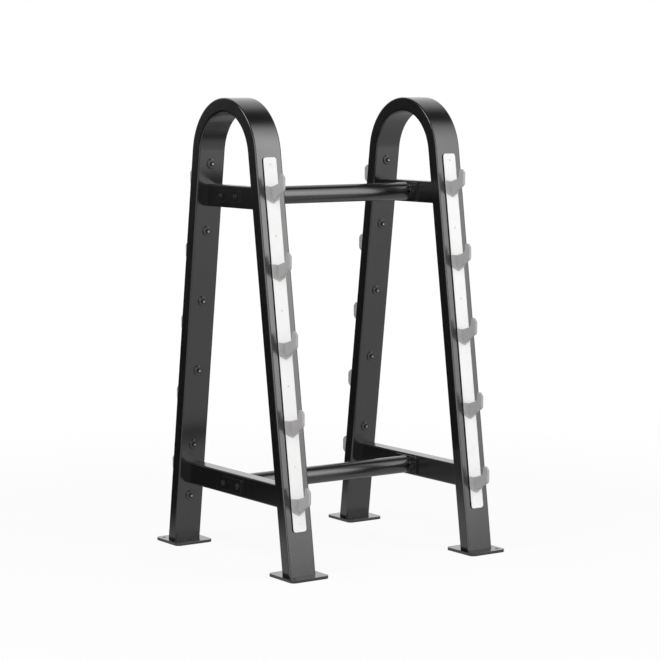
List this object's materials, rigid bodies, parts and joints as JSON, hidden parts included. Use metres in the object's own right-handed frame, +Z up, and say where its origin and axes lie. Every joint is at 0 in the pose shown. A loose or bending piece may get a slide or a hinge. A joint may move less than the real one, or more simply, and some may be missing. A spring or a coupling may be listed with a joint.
{
  "type": "barbell storage rack",
  "caption": "Free-standing barbell rack: arched box-tube frames joined by crossbars, with rails of J-hooks on every leg.",
  "frame": {"origin": "on the floor, in the middle of the rack", "axes": "+Z up, X across the two frames with +X to the right frame, -Y the front side of the picture"},
  "size_m": [0.849, 0.857, 1.503],
  "materials": {
    "paint": "gloss black powder coat over bent and welded steel tube",
    "rail_plastic": "white plastic strip, planed along its length",
    "hook_plastic": "mid grey moulded plastic with a fine grain",
    "bolt_steel": "black oxide domed bolts, nuts and washers"
  },
  "bodies": {
    "root": {"frame_left": "paint", "foot_plate_front_left": "paint", "foot_plate_back_left": "paint", "member_upper_left": "paint", "backing_upper_left": "paint", "bolt_upper_front_left": "bolt_steel", "bolt_upper_back_left": "bolt_steel", "member_lower_left": "paint", "backing_lower_left": "paint", "bolt_lower_front_left": "bolt_steel", "bolt_lower_back_left": "bolt_steel", "rail_front_left": "rail_plastic", "hook_front_left_1": "hook_plastic", "hook_front_left_2": "hook_plastic", "hook_front_left_3": "hook_plastic", "hook_front_left_4": "hook_plastic", "hook_front_left_5": "hook_plastic", "rail_back_left": "rail_plastic", "hook_back_left_1": "hook_plastic", "hook_back_left_2": "hook_plastic", "hook_back_left_3": "hook_plastic", "hook_back_left_4": "hook_plastic", "hook_back_left_5": "hook_plastic", "frame_right": "paint", "foot_plate_front_right": "paint", "foot_plate_back_right": "paint", "member_upper_right": "paint", "backing_upper_right": "paint", "bolt_upper_front_right": "bolt_steel", "bolt_upper_back_right": "bolt_steel", "member_lower_right": "paint", "backing_lower_right": "paint", "bolt_lower_front_right": "bolt_steel", "bolt_lower_back_right": "bolt_steel", "rail_front_right": "rail_plastic", "hook_front_right_1": "hook_plastic", "hook_front_right_2": "hook_plastic", "hook_front_right_3": "hook_plastic", "hook_front_right_4": "hook_plastic", "hook_front_right_5": "hook_plastic", "rail_back_right": "rail_plastic", "hook_back_right_1": "hook_plastic", "hook_back_right_2": "hook_plastic", "hook_back_right_3": "hook_plastic", "hook_back_right_4": "hook_plastic", "hook_back_right_5": "hook_plastic", "crossbar_upper": "paint", "crossbar_lower": "paint"}
  },
  "joints": []
}
